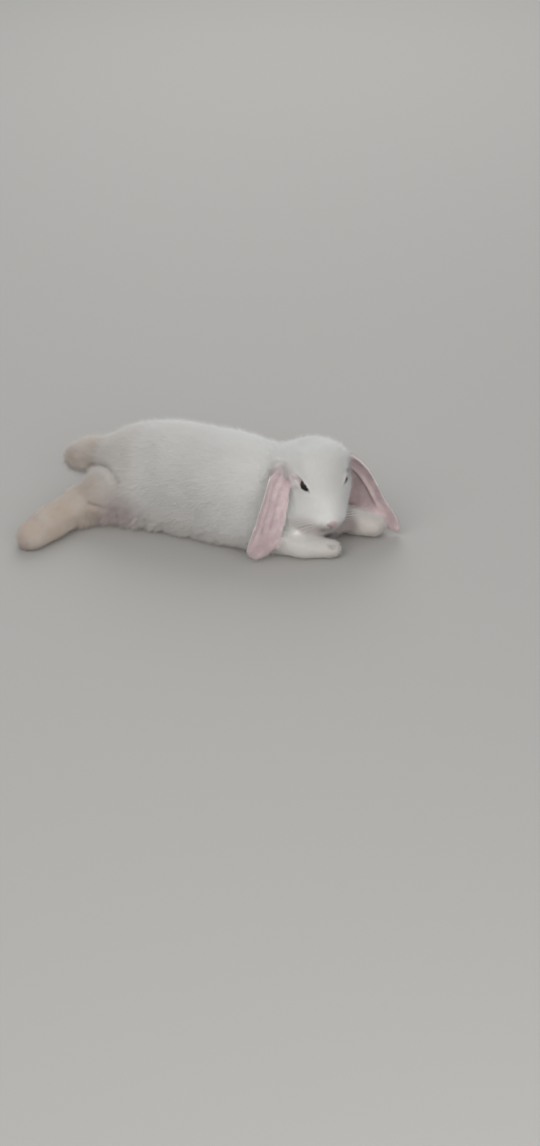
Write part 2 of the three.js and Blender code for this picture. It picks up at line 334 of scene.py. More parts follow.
# What grows where, softly blended from part to part.
spots, edges, out = places(skin), edges_of(skin), normals_of(skin)
part = nearest_part(spots)
grown = evened(np.array([GROWTH[name][1:] for name in FLESH])[part], edges, 14)
depth, length, lean, width, thick = grown.T
lie = np.zeros_like(spots)
for number, name in enumerate(FLESH):
    mine = part == number
    lie[mine] = beside(spots[mine], GROWTH[name][0])[0] + DROOP
for _ in range(6):
    lie -= (lie * out).sum(1, keepdims=True) * out
    lie = evened(unit(lie), edges, 6)
bald_nose = 1 - ease(5, 13, away(NOSE))
depth = depth * (1 - 0.85 * bald_nose)
spots -= out * depth[:, None] / 1000
put(skin, spots)


def gaze(side):
    """The way that an eye looks, and the way from its middle to the nose and to the brow."""
    outward = unit(0.45 * NOSEWARD + (0.8 if side == "left" else -0.8) * LEFTWARD + 0.4 * CROWNWARD)
    corner = unit(NOSEWARD - (NOSEWARD @ outward) * outward)
    brow = np.cross(outward, corner)
    brow *= np.sign(brow @ CROWNWARD)
    corner = unit(corner - 0.10 * brow)
    return outward, corner, unit(brow - (brow @ corner) * corner)


# Each eyeball is wrapped in a lid, which parts over it in a slit that runs to the nose.
SLIT_LONG, SLIT_UPPER, SLIT_LOWER = 68, 29, 24  # half angles of the slit, in degrees
LID = 0.8  # thickness of a lid in millimetres
LID_SINK = 2.4  # how far the hide lies under the eyeball inside the slit, in millimetres
LID_BLEND = 1.2  # how softly the lid runs into the face, in millimetres
CREASE_AT, CREASE_HALF = 24, 6  # the crease round the lids, in degrees from the slit
CREASE_DEEP = 0.55
slit = np.full(len(spots), 9.0)  # millimetres, about, from each vertex to the lid's edge
for side, centre in EYES.items():
    outward, corner, brow = gaze(side)
    arm = spots - centre
    reach = np.linalg.norm(arm, axis=1)
    ray = arm / reach[:, None]
    facing = ray @ outward
    turn = np.degrees(np.arccos(np.clip(facing, -1, 1)))
    x = np.degrees(np.arcsin(np.clip(ray @ corner, -1, 1)))
    y = np.degrees(np.arcsin(np.clip(ray @ brow, -1, 1)))
    half = np.where(y > 0, SLIT_UPPER, SLIT_LOWER)
    edge = np.abs(y) - half * np.clip(1 - (x / SLIT_LONG) ** 2, -1, 1)
    near = (reach < LID_REACH) & (turn < 96)
    now = reach * 1000
    lid = EYEBALL * 1000 + LID * ease(-2, 5, edge) - LID_SINK * (1 - ease(-3, 2, edge))
    dome = lid + LID_BLEND * np.log1p(np.exp(np.clip((now - lid) / LID_BLEND, -30, 30)))
    fold = CREASE_DEEP * np.exp(-(((edge - CREASE_AT) / CREASE_HALF) ** 2)) * (facing > 0.1)
    inside = 1 - ease(-1, 3, edge)
    wanted = (1 - inside) * (dome - fold) + inside * lid
    wanted = now + (wanted - now) * (1 - ease(70, 92, turn))
    spots = np.where(near[:, None], centre + ray * wanted[:, None] / 1000, spots)
    slit = np.where(near & (turn < 90), np.minimum(slit, edge / 7), slit)
put(skin, spots)


def on_axes(spots):
    """Places along, left and up from the middle of the head, in millimetres."""
    arm = (spots - HEAD) * 1000
    return arm @ NOSEWARD, arm @ LEFTWARD, arm @ CROWNWARD


def press(spots, out, gap, deep, half):
    """Presses a groove where gap, in millimetres, is small."""
    return spots - out * (deep * np.exp(-((gap / half) ** 2)))[:, None] / 1000


def gap_to(across, up, path):
    """Distance on the face from each vertex to a line of (left, up) points."""
    best = np.full(len(across), np.inf)
    for (a, b), (c, d) in zip(path[:-1], path[1:]):
        run = (c - a) ** 2 + (d - b) ** 2
        share = np.clip(((across - a) * (c - a) + (up - b) * (d - b)) / run, 0, 1)
        best = np.minimum(best, np.hypot(across - a - share * (c - a), up - b - share * (d - b)))
    return best


# Nostrils open as two slanting slits that meet in the cleft of the upper lip. The lines are
# points left of and above the middle of the head, in millimetres.
NOSTRIL = [(1.0, -11.5), (3.6, -8.6), (6.2, -7.2)]
LIP = [(0, -19.5), (5, -22), (11, -21)]
CLEFT = [(0, -11.5), (0, -19.5)]
NONE_NEAR = 99.0  # millimetres, where there is no groove
along, left, up = on_axes(spots)
out = normals_of(skin)
front = (along > 40) & (out @ NOSEWARD > -0.1)
nostril, lips = (
    np.minimum(gap_to(-left, up, line), gap_to(left, up, line)) for line in (NOSTRIL, LIP)
)
cleft = gap_to(left, up, CLEFT)
nostril, lips, cleft = (np.where(front, gap, NONE_NEAR) for gap in (nostril, lips, cleft))
GROOVES = ((nostril, 1.6, 0.9), (lips, 1.2, 0.9), (cleft, 1.1, 0.8))
for gap, deep, half in GROOVES:
    spots = press(spots, out, gap, deep, half)
put(skin, spots)

# Toes part at the tip of each forepaw and of the near hind foot. Each line runs from the tip back
# towards the heel.
TOE_SPACING = 5.2  # millimetres, as are the depth and the half width of a groove
TOE_GROOVE_DEEP, TOE_GROOVE_HALF = 1.0, 1.1
TOE_LINES = (
    (at(176, 21, 9), at(150, 11, 12)),
    (at(203, 84, 12), at(180, 83, 14)),
    (at(-168, -88, 12), at(-162, -62, 14)),
)
for tip, heel in TOE_LINES:
    run = unit(tip - heel)
    side = unit(np.cross((0, 0, 1), run))
    out = normals_of(skin)
    arm = (spots - tip) * 1000
    close = (1 - ease(6, 13, np.linalg.norm(arm, axis=1))) * ease(0.1, 0.6, out @ run)
    for shift in (-TOE_SPACING, 0, TOE_SPACING):
        gap = np.abs(arm @ side - shift)
        spots = press(spots, out, gap, TOE_GROOVE_DEEP * close, TOE_GROOVE_HALF)
    put(skin, spots)

# The lower edge of the near flank hangs in small scallops, one for each lock of its fringe.
FLANK = [FLESH.index(name) for name in ("loin", "rump", "thigh_right", "chest", "hind_foot_right")]
CLUMP = 0.0095  # width of a lock of the fringe
SCALLOP = 1.8  # half the depth of a scallop, in millimetres
run = (spots[:, 0] - UNDER_LOIN[0]) * 1000
fringe = ease(-150, -132, run) * (1 - 0.6 * ease(-66, -20, run)) * (1 - ease(40, 84, run))
out = normals_of(skin)
fringe *= (1 - ease(0.010, 0.026, spots[:, 2])) * np.isin(part, FLANK) * ease(-0.3, 0.1, -out[:, 1])
fringe = evened(fringe * ease(-34, -18, (spots[:, 1] - UNDER_LOIN[1]) * 1000), edges, 3)


def lock_phase(x):
    """Where each place lies in its lock of the fringe: 0 in the middle, pi between two locks."""
    return 2 * math.pi * (x + 0.35 * CLUMP * (np.sin(x * 310) + np.sin(x * 173 + 1))) / CLUMP


scallop = SCALLOP * fringe * (1 - np.cos(lock_phase(spots[:, 0])))
spots -= out * scallop[:, None] / 1000

# Loose skin folds where the haunch meets the tail, above the fringe of the flank, and beside
# the far cheek, where the ear hangs in a crease.
HIP_FOLD = [
    at(-138, 26, 60), at(-126, 18, 66), at(-114, 10, 72),
    at(-105, 5, 74), at(-98, 0, 72), at(-88, -6, 64),
]
FLANK_FOLD = [at(-122, -16, 32), at(-106, -12, 28), at(-87, -7, 26)]
CHEEK_FOLD = [at(172, 66, 99), at(171, 75, 79), at(172, 88, 62)]
FOLD_DEEP, FOLD_HALF = (5.0, 2.5, 2.0), (4.5, 3.0, 2.5)  # of each, in millimetres
out = normals_of(skin)
folds = [beside(spots, line)[1] for line in (HIP_FOLD, FLANK_FOLD, CHEEK_FOLD)]
for gap, deep, half in zip(folds, FOLD_DEEP, FOLD_HALF):
    spots = press(spots, out, gap, deep, half)


def on_ear(line, across):
    """Millimetres down an ear from its root, and across it from its middle line."""
    line = np.array(line)
    best, down, off = np.full(len(spots), np.inf), np.zeros(len(spots)), np.zeros(len(spots))
    gone = 0.0
    for start, end in zip(line[:-1], line[1:]):
        run = end - start
        size = np.linalg.norm(run)
        share = np.clip((spots - start) @ run / size**2, 0, 1)
        arm = spots - start - share[:, None] * run
        gap = np.linalg.norm(arm, axis=1)
        nearer = gap < best
        best = np.where(nearer, gap, best)
        down = np.where(nearer, gone + share * size, down)
        off = np.where(nearer, arm @ unit(np.array(across)), off)
        gone += size
    return down * 1000, off * 1000


# The far ear is folded along its lower edge: the part beyond the fold hangs behind the rest.
# The near ear has low ridges of gristle that run down its hollow.
LEFT_EAR_ACROSS, RIGHT_EAR_ACROSS = (0.7, -0.16, 0.69), (0.5, 0.74, -0.42)
FOLD_BELOW, FOLD_BELOW_AT_ROOT = 3.0, 7.5  # where the fold runs, in millimetres off the middle line
FLAP_BACK, FOLD_SWELL = 4.0, 1.2  # how far the flap hangs back and the fold bulges forward
TUCK_AT, TUCK_REACH = at(170, 89, 38), 13
TUCK = np.array((-8.5, 0.5, -8.5))
RIDGE_HIGH, RIDGE_TURN = 0.55, 0.62  # millimetres, and radians to a millimetre across the ear
FLOOR_GAP = 0.0003  # the hide stays this far above the floor
far_ear = (part == FLESH.index("ear_left")).astype(float)
down, off = on_ear(LEFT_EAR, LEFT_EAR_ACROSS)
past = -FOLD_BELOW - (FOLD_BELOW_AT_ROOT - FOLD_BELOW) * (1 - ease(20, 60, down)) - off
flap = evened(far_ear, edges, 2) * ease(12, 24, down) * (1 - ease(64, 84, down))
spots[:, 1] += FLAP_BACK * flap * ease(0, 2.4, past) / 1000
spots[:, 1] -= FOLD_SWELL * flap * np.exp(-(((past + 2.4) / 2.0) ** 2)) / 1000
# The flare beyond the fold is tucked against the cheek and rests on the forearm.
tuck = evened(far_ear, edges, 2) * np.exp(-((away(TUCK_AT) / TUCK_REACH) ** 2))
spots += TUCK * tuck[:, None] / 1000
# Where painted shade goes on the far ear: along its fold, and more faintly over the flap beyond it.
far_fold = flap * np.exp(-(((past - 1.0) / 1.5) ** 2))
far_flap = flap * ease(0.4, 2.6, past)
near_ear = (part == FLESH.index("ear_right")).astype(float)
down, off = on_ear(RIGHT_EAR, RIGHT_EAR_ACROSS)
gristle = near_ear * ease(12, 30, down) * (1 - ease(84, 108, down)) * np.sin(off * RIDGE_TURN + 0.5)
spots += unit(np.array((0.8, -0.5, 0))) * (RIDGE_HIGH * gristle)[:, None] / 1000
spots[:, 2] = np.maximum(spots[:, 2], FLOOR_GAP)
put(skin, spots)
out = normals_of(skin)

# How pink each place is. The hollows of the ears are pink from just below the root, and so
# are the nose, the edges of the lids, the groin and the toes. In each ease(near, far, ...) a
# patch changes between these two distances, in millimetres.
hollow = np.zeros(len(spots))
for name, line, way, bare in (
    ("ear_right", RIGHT_EAR, (0.8, -0.5, 0.0), (6, 17)),
    ("ear_left", LEFT_EAR, (0.0, -1.0, 0.0), (4, 12)),
):
    mine = (part == FLESH.index(name)).astype(float)
    inner = ease(0.1, 0.5, out @ unit(np.array(way)))
    hollow += mine * inner * ease(*bare, away(line[0]))
hollow = evened(hollow, edges, 3)
rim = 4 * hollow * (1 - hollow)
nose_tip = 1 - ease(3.5, 8.5, away(NOSE))
lid_edge = 1 - ease(0.1, 1.1, slit)
ear_flush = 1.1 * (1 - ease(9, 20, away(at(113, 20, 92))))
groin = (1 - ease(10, 40, away(at(-82, -12, 20)))) * 0.8
toes = sum(1 - ease(6, 16, away(tip)) for tip, heel in TOE_LINES) * 0.1
temple = 0.6 * (1 - ease(4, 14, away(at(121, 20, 86))))
pink = np.clip(hollow + nose_tip * 0.6 + lid_edge * 0.5 + groin + toes + temple + ear_flush, 0, 1)
# How cream the hair is: the feet, the tail and the haunches are stained by the floor.
STAIN = {
    "hind_foot_right": 0.85, "hind_foot_left": 0.8, "tail": 0.9, "thigh_right": 0.4,
    "thigh_left": 0.35, "rump": 0.35, "loin": 0.1, "forepaw_right": 0.12, "forepaw_left": 0.2,
}
cream = evened(np.array([STAIN.get(name, 0.0) for name in FLESH])[part], edges, 90)
# Within 5 cm of the floor the hair is made creamier: partly floor stain, partly painted warm light
# thrown up from the floor.
cream = np.clip(cream + 0.3 * (1 - ease(0.0, 0.05, spots[:, 2])), 0, 1)
# Painted shade: darker in the folds, in the grooves of the nostrils and lips, round the mouth and
# under the throat. The nose and the edges of the lids are darkened as well.
along, left, up = on_axes(spots)
mouth = (part == FLESH.index("head")) * ease(36, 50, along) * (1 - ease(-18, -6, up)) * 0.75
throat = 1 - ease(14, 28, away(at(164, 62, 16)))
painted_shade = 0.6 * np.exp(-((folds[0] / 3.2) ** 2)) + 0.4 * np.exp(-((folds[1] / 3.0) ** 2))
painted_shade += 0.9 * np.exp(-((folds[2] / 3.0) ** 2)) + 0.9 * far_fold + 0.45 * far_flap
painted_shade += mouth + throat + 0.9 * np.exp(-((nostril / 1.0) ** 2)) + 0.6 * np.exp(-((lips / 1.0) ** 2))
painted_shade = np.clip(evened(painted_shade, edges, 1) + 0.75 * nose_tip + 0.7 * lid_edge, 0, 1)


def mark(mesh, label, values):
    """Gives each vertex one number, which the materials read by its label."""
    data = mesh.attributes.new(label, "FLOAT", "POINT").data
    data.foreach_set("value", values.astype(np.float32))


# Each vertex carries its pink, its cream and its painted shade.
for label, values in (("pink", pink), ("cream", cream), ("painted_shade", painted_shade)):
    mark(skin.data, label, values)

take(skin)
bpy.ops.object.shade_smooth()
work_on_all(bpy.ops.uv.smart_project, angle_limit=math.radians(66), island_margin=0.001)
skin.data.uv_layers[0].name = "OFBake"


def new_material(name):
    made = bpy.data.materials.new(name)
    made.use_nodes = True
    tree = made.node_tree
    return made, tree, tree.nodes["Principled BSDF"]


def node(tree, kind, **settings):
    """A shader node with its sockets and settings filled in by name."""
    made = tree.nodes.new(kind)
    for key, value in settings.items():
        if key in made.inputs:
            made.inputs[key].default_value = value
        else:
            setattr(made, key, value)
    return made


def mix(tree, factor, one, other):
    made = tree.nodes.new("ShaderNodeMix")
    made.data_type = "RGBA"
    sockets = (made.inputs[0], made.inputs[6], made.inputs[7])  # the factor, and the two colours
    for socket, value in zip(sockets, (factor, one, other)):
        if isinstance(value, (int, float, tuple)):
            socket.default_value = value
        else:
            tree.links.new(value, socket)
    return made.outputs[2]


def sums(tree, way, one, other):
    made = tree.nodes.new("ShaderNodeMath")
    made.operation = way
    for socket, value in zip(made.inputs, (one, other)):
        if isinstance(value, (int, float)):
            socket.default_value = value
        else:
            tree.links.new(value, socket)
    return made.outputs[0]


def reads(tree, label):
    made = node(tree, "ShaderNodeAttribute", attribute_name=label, attribute_type="GEOMETRY")
    return made.outputs["Fac"]


def noise(tree, **settings):
    """Cloudy noise that is fixed to the piece."""
    where = tree.nodes.new("ShaderNodeTexCoord")
    made = node(tree, "ShaderNodeTexNoise", **settings)
    tree.links.new(where.outputs["Object"], made.inputs["Vector"])
    return made.outputs["Fac"]


# The hair is white, cream towards the feet and the belly, and lets the pink skin through
# where it is thin. Skin and coat take their colour from this one recipe.
# The recipe also paints shade: at the root of each lock, and in folds, round the mouth and under
# the throat.
WHITE, CREAM, GREY = (0.90, 0.89, 0.86, 1), (0.70, 0.56, 0.45, 1), (0.74, 0.70, 0.65, 1)
FLESH_PINK, BLOOD_PINK = (0.66, 0.52, 0.51, 1), (0.50, 0.37, 0.385, 1)
# Painted shade: the first colour below darkens the roots of the hair, the second darkens the folds,
# the mouth and the throat.
ROOT_SHADE, PAINTED_SHADE_COLOUR = (0.72, 0.64, 0.58, 1), (0.30, 0.22, 0.21, 1)
tint = bpy.data.node_groups.new("white_coat", "ShaderNodeTree")
for label, start in (("Pink", 0.0), ("Cream", 0.0), ("Painted_shade", 0.0), ("Tip", 1.0), ("Tone", 0.5)):
    socket = tint.interface.new_socket(label, in_out="INPUT", socket_type="NodeSocketFloat")
    socket.default_value = start
tint.interface.new_socket("Color", in_out="OUTPUT", socket_type="NodeSocketColor")
into, outof = tint.nodes.new("NodeGroupInput"), tint.nodes.new("NodeGroupOutput")
cloud = noise(tint, Scale=38.0, Detail=3.0)
patches = noise(tint, Scale=75.0, Detail=3.0, Roughness=0.6)
# The cream mask, both stain and painted warm light near the floor, mottled by the cloud.
stain_and_warm_light = sums(tint, "MULTIPLY", into.outputs["Cream"], sums(tint, "ADD", cloud, 0.4))
hair = mix(tint, stain_and_warm_light, WHITE, CREAM)
shade = mix(tint, sums(tint, "MULTIPLY", into.outputs["Tone"], 0.35), hair, GREY)
# Painted shade at the roots: each lock is darker and warmer towards its root, as if shaded by the
# hair above it.
deep = sums(tint, "MULTIPLY", sums(tint, "SUBTRACT", 1.0, into.outputs["Tip"]), 0.35)
root = mix(tint, deep, shade, ROOT_SHADE)
flush = sums(tint, "SUBTRACT", sums(tint, "MULTIPLY", patches, 3.0), 1.0)
rosy = mix(tint, sums(tint, "MINIMUM", flush, 0.8), FLESH_PINK, BLOOD_PINK)
bare = mix(tint, into.outputs["Pink"], root, rosy)
# Painted shade: the marked places are darkened towards a dark brownish grey.
with_painted_shade = mix(tint, sums(tint, "MULTIPLY", into.outputs["Painted_shade"], 0.75), bare, PAINTED_SHADE_COLOUR)
tint.links.new(with_painted_shade, outof.inputs["Color"])

hide, tree, shader = new_material("hide")
recipe = node(tree, "ShaderNodeGroup", node_tree=tint)
# The hide reads its pink, its cream and its painted shade from its vertices.
for label, socket in (("pink", "Pink"), ("cream", "Cream"), ("painted_shade", "Painted_shade")):
    tree.links.new(reads(tree, label), recipe.inputs[socket])
# The hide takes part of the painted root shade, as if it lay under the roots of the hair.
recipe.inputs["Tip"].default_value = 0.4
tree.links.new(recipe.outputs[0], shader.inputs["Base Color"])
bump = node(tree, "ShaderNodeBump", Strength=0.4, Distance=0.0006)
tree.links.new(noise(tree, Scale=900.0, Detail=3.0), bump.inputs["Height"])
tree.links.new(bump.outputs["Normal"], shader.inputs["Normal"])
shader.inputs["Roughness"].default_value = 0.62
shader.inputs["Specular IOR Level"].default_value = 0.3
shader.inputs["Subsurface Weight"].default_value = 0.2
shader.inputs["Subsurface Radius"].default_value = (1.0, 0.5, 0.35)
shader.inputs["Subsurface Scale"].default_value = 0.003
skin.data.materials.append(hide)
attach(skin, "root")
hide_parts(*FLESH)

# ---- coat ---------------------------------------------------------------------------------
# Short dense plush over the whole hide, in fine locks of a few hairs that lie from the nose
# to the tail and down each leg. Each lock is a thin closed spike, sunk in the hide at its root.

fur, tree, shader = new_material("plush")
recipe = node(tree, "ShaderNodeGroup", node_tree=tint)
# The coat reads the same marks, and the place along each lock for the painted shade at its root.
for label in ("pink", "cream", "painted_shade", "tip", "tone"):
    tree.links.new(reads(tree, label), recipe.inputs[label.capitalize()])
tree.links.new(recipe.outputs[0], shader.inputs["Base Color"])
shader.inputs["Roughness"].default_value = 0.8
shader.inputs["Specular IOR Level"].default_value = 0.25
shader.inputs["Sheen Weight"].default_value = 0.3
shader.inputs["Sheen Roughness"].default_value = 0.5

skin.data.calc_loop_triangles()
corner = column(skin.data.loop_triangles, "vertices", 3, np.int32)
loops = column(skin.data.loop_triangles, "loops", 3, np.int32)
unwrap = column(skin.data.uv_layers["OFBake"].data, "uv", 2)
a, b, c = (spots[corner[:, k]] for k in range(3))
area = 0.5 * np.linalg.norm(np.cross(b - a, c - a), axis=1)

# Hair is shortest round the nose and the lids, and longer on the cheeks, the crown, the rims
# of the ears and over their roots. It is thin in the ears and where the body rests.
face = evened((part == FLESH.index("head")).astype(float), edges, 6)
length *= 1 - face * (1 - (0.45 + 0.85 * ease(5, 62, away(NOSE))))
length *= 0.3 + 0.7 * ease(0.3, 2.6, slit)
length *= (1 - 0.45 * hollow) * (1 + 0.9 * rim)
ear_root = 1 - ease(10, 26, away(RIGHT_EAR[0])) + (1 - ease(8, 20, away(LEFT_EAR[0])))
length += 4.0 * np.clip(ear_root, 0, 1)
thick *= (1 - 0.5 * hollow) * (1 - nose_tip) * ease(0.1, 0.4, slit)
thick *= 1 + 0.9 * (1 - ease(8, 32, away(NOSE)))
thick *= 1 - 0.7 * (1 - ease(1.0, 3.0, spots[:, 2] * 1000)) * (out[:, 2] < -0.8)
tuft_pink = pink * (1 - 0.75 * rim) * 0.65

# The lie wavers from place to place, as plush does where it has been rubbed. Each wave has a
# way, a number of radians to a metre, and a start.
WAVES = (
    ((1, 0.4, 0.3), 150, 0.3),
    ((-0.5, 1, 0.2), 190, 1.7),
    ((0.2, -0.6, 1), 230, 2.9),
    ((0.7, 0.7, -0.5), 310, 4.1),
)
wave = sum(np.sin(spots @ np.array(way) * size + start) for way, size, start in WAVES)
across = unit(np.cross(out, lie))
lie = unit(lie + 0.07 * wave[:, None] * across + fringe[:, None] * np.array((-0.25, -0.5, -1.6)))

# Each piece of coat: the parts it covers, the side of the spine (-1 right, 1 left, 0 both), and
# how many locks it has.
COATS = {
    "coat_head": (["head"], 0, 49000),
    "coat_ears": (["ear_right", "ear_left"], 0, 42000),
    "coat_forelegs": (
        ["neck", "forearm_right", "forepaw_right", "forearm_left", "forepaw_left"], 0, 42000,
    ),
    "coat_chest_right": (["chest"], -1, 31000),
    "coat_chest_left": (["chest"], 1, 31000),
    "coat_loin_right": (["loin"], -1, 34000),
    "coat_loin_left": (["loin"], 1, 34000),
    "coat_rump": (["rump", "tail"], 0, 33000),
    "coat_thighs": (["thigh_right", "thigh_left", "hind_foot_left"], 0, 33000),
    "coat_hind_foot": (["hind_foot_right"], 0, 34000),
}
UNWRAP_PATCH = 0.003  # side of a lock's patch on the unwrap
ROOT_SUNK = 0.0006  # how deep a root sits in the hide
YAW = 0.24  # how far the locks stray to either side, in radians
GUARD_SHARE = 0.14  # share of longer hairs, which stand clear of the rest
GUARD_EXTRA, GUARD_RISE, GUARD_FINER = 0.25, 0.8, 0.3
LONG_RANGE, RISE_RANGE, WIDE_RANGE = (0.65, 1.15), (0.45, 1.5), (0.75, 1.25)
FRINGE_RISE = 12  # degrees
FLOOR_LOW, FLOOR_SPREAD = 0.0004, 0.0006  # how close to the floor the locks come
PILE = 0.45  # how far the locks are shaded as one soft pile
# A lock is a three-sided spike: three corners at the root, and the tip.
SPIKE = np.array([(1, 0, 3), (2, 1, 3), (0, 2, 3), (0, 1, 2)])
# The lock's own patch of the unwrap: its three sides next to one another, and its root below.
SPIKE_UV = np.array([
    (-0.17, -0.4), (0.17, -0.4), (0.0, 0.5),
    (-0.5, -0.4), (-0.17, -0.4), (-0.33, 0.5),
    (0.17, -0.4), (0.5, -0.4), (0.33, 0.5),
    (0.1, -0.42), (-0.1, -0.42), (0.0, -0.5),
])


def locks_of(name, points, patch, marks):
    """A mesh of closed spikes, from the four points and the patch of the unwrap of each."""
    tufts = len(points)
    corners = (np.arange(tufts)[:, None] * 4 + SPIKE.ravel()).ravel()
    made = bpy.data.meshes.new(name)
    made.vertices.add(tufts * 4)
    made.vertices.foreach_set("co", points.astype(np.float32).ravel())
    made.loops.add(len(corners))
    made.loops.foreach_set("vertex_index", corners.astype(np.int32))
    made.polygons.add(tufts * 4)
    made.polygons.foreach_set("loop_start", np.arange(0, tufts * 12, 3, dtype=np.int32))
    made.update(calc_edges=True)
    made.uv_layers.new(name="OFBake").data.foreach_set("uv", patch.astype(np.float32).ravel())
    for label, values in marks.items():
        mark(made, label, values)
    made.polygons.foreach_set("use_smooth", np.ones(tufts * 4, bool))
    return made


def grow(name, parts, half, tufts, seed, piled):
    """One piece of coat: locks on these parts, as one mesh."""
    chance = np.random.default_rng(seed)
    here = np.isin(part[corner[:, 0]], [FLESH.index(p) for p in parts])
    here &= half * (spots[corner[:, 0], 1] - SPINE[0][1]) >= 0
    wanted = np.where(here, area * thick[corner].mean(1), 0)
    face = chance.choice(len(corner), tufts, p=wanted / wanted.sum())
    a, b = chance.random((2, tufts))
    turned = a + b > 1
    a, b = np.where(turned, 1 - a, a), np.where(turned, 1 - b, b)
    share = np.stack([1 - a - b, a, b], 1)

    def blend(values):
        """What the hide holds at each root, between the three corners of its face."""
        found = values[corner[face]]
        return (found * (share[..., None] if found.ndim == 3 else share)).sum(1)

    # Each lock starts along the lie, strays a little, and turns to the middle of its clump in
    # the fringe.
    root, up, way = blend(spots), unit(blend(out)), blend(lie)
    place = (unwrap[loops[face]] * share[..., None]).sum(1)
    way = unit(way - (way * up).sum(1, keepdims=True) * up)
    side = np.cross(up, way)
    loose = blend(fringe)
    yaw = chance.normal(0, YAW, tufts)
    phase = lock_phase(root[:, 0])
    yaw -= 1.1 * loose * np.sin(phase) * np.sign(side[:, 0])
    way, side = (
        np.cos(yaw)[:, None] * way + np.sin(yaw)[:, None] * side,
        np.cos(yaw)[:, None] * side - np.sin(yaw)[:, None] * way,
    )
    guard = chance.random(tufts) < GUARD_SHARE
    far = blend(length) / 1000 * chance.uniform(*LONG_RANGE, tufts)
    far *= 1 + GUARD_EXTRA * guard + loose * (0.8 + 0.9 * np.cos(phase))
    rise = blend(lean) * (chance.uniform(*RISE_RANGE, tufts) + GUARD_RISE * guard)
    rise = np.radians(rise + FRINGE_RISE * loose)
    wide = blend(width) / 2000 * chance.uniform(*WIDE_RANGE, tufts) * (1 - GUARD_FINER * guard)
    low = root - up * ROOT_SUNK
    points = np.empty((tufts, 4, 3))
    points[:, 0] = low + up * (wide * 0.9)[:, None]
    points[:, 1] = low + side * wide[:, None] - up * (wide * 0.4)[:, None]
    points[:, 2] = low - side * wide[:, None] - up * (wide * 0.4)[:, None]
    points[:, 3] = root + way * (far * np.cos(rise))[:, None] + up * (far * np.sin(rise))[:, None]
    floor_gap = FLOOR_LOW + FLOOR_SPREAD * chance.random((tufts, 1))
    points[..., 2] = np.maximum(points[..., 2], floor_gap)

    made = locks_of(
        name,
        points,
        place[:, None, :] + UNWRAP_PATCH * SPIKE_UV[None],
        {
            "tip": np.tile([0, 0, 0, 1.0], tufts),
            "tone": np.repeat(chance.random(tufts), 4),
            "pink": np.repeat(blend(tuft_pink), 4),
            "cream": np.repeat(blend(cream), 4),
            # The painted shade of the hide, a little weaker on the locks.
            "painted_shade": np.repeat(blend(painted_shade) * 0.85, 4),
        },
    )
    if piled:  # the locks' normals lean to the hide's own
        turn_out = np.stack([up, side - 0.3 * up, -side - 0.3 * up, 0.75 * way + 0.25 * up], 1)
        soft = unit(PILE * up[:, None, :] + (1 - PILE) * turn_out).reshape(-1, 3)
        made.normals_split_custom_set_from_vertices(soft.astype(np.float32))
    coat = bpy.data.objects.new(name, made)
    bpy.context.collection.objects.link(coat)
    made.materials.append(fur)
    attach(coat, "root")


for seed, (name, (parts, half, tufts)) in enumerate(COATS.items(), start=11):
    grow(name, parts, half, tufts, seed, piled=name != "coat_ears")

# ---- eyes ---------------------------------------------------------------------------------
# Dark brown eyes, wet and glossy, each a ball that bulges at the cornea. The lids hold it.

CORNEA = 0.0006  # how far the cornea bulges out of the ball
eye_look, tree, shader = new_material("dark_eye")
PUPIL, IRIS, OUTER_IRIS, RIM, EYE_WHITE = (
    (0.004, 0.004, 0.005, 1), (0.035, 0.018, 0.012, 1), (0.02, 0.012, 0.01, 1),
    (0.03, 0.02, 0.018, 1), (0.45, 0.40, 0.38, 1),
)
colours = node(tree, "ShaderNodeValToRGB")
stops = colours.color_ramp.elements
stops[0].position, stops[0].color = 0.0, PUPIL
stops[1].position, stops[1].color = 1.0, EYE_WHITE
for place, colour in ((0.40, PUPIL), (0.46, IRIS), (0.72, OUTER_IRIS), (0.86, RIM)):
    stops.new(place).color = colour
tree.links.new(reads(tree, "ring"), colours.inputs[0])
tree.links.new(colours.outputs[0], shader.inputs["Base Color"])
shader.inputs["Roughness"].default_value = 0.12
shader.inputs["Specular IOR Level"].default_value = 0.25
shader.inputs["Coat Weight"].default_value = 0.35
shader.inputs["Coat Roughness"].default_value = 0.03
for side, centre in EYES.items():
    bpy.ops.object.select_all(action="DESELECT")
    bpy.ops.mesh.primitive_uv_sphere_add(
        segments=48, ring_count=32, radius=EYEBALL, location=centre
    )
    ball = bpy.context.object
    ball.name = ball.data.name = "eyeball_" + side
    bpy.ops.object.transform_apply()
    bpy.ops.object.shade_smooth()
    round_eye = places(ball)
    ray = unit(round_eye - centre)
    turn = np.degrees(np.arccos(np.clip(ray @ gaze(side)[0], -1, 1)))
    put(ball, round_eye + ray * (CORNEA * (1 - ease(10, 44, turn)))[:, None])
    mark(ball.data, "ring", turn / 90)
    ball.data.materials.append(eye_look)
    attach(ball, "root")
    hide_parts("eye_" + side)

# ---- claws --------------------------------------------------------------------------------
# Four short curved claws of pale horn at the tip of each paw, almost hidden by the fur.

CLAW_LONG, CLAW_THICK, CLAW_SPACING = 0.0075, 0.0011, 0.0052
CLAW_CURL = 0.0022  # how far the tip curls down
CLAW_SPLAY = 0.12
PALE_HORN, DARK_HORN = (0.62, 0.50, 0.42, 1), (0.45, 0.33, 0.28, 1)
horn, tree, shader = new_material("pale_horn")
streak = noise(tree, Scale=1400.0, Detail=2.0)
tree.links.new(mix(tree, streak, PALE_HORN, DARK_HORN), shader.inputs["Base Color"])
shader.inputs["Roughness"].default_value = 0.35


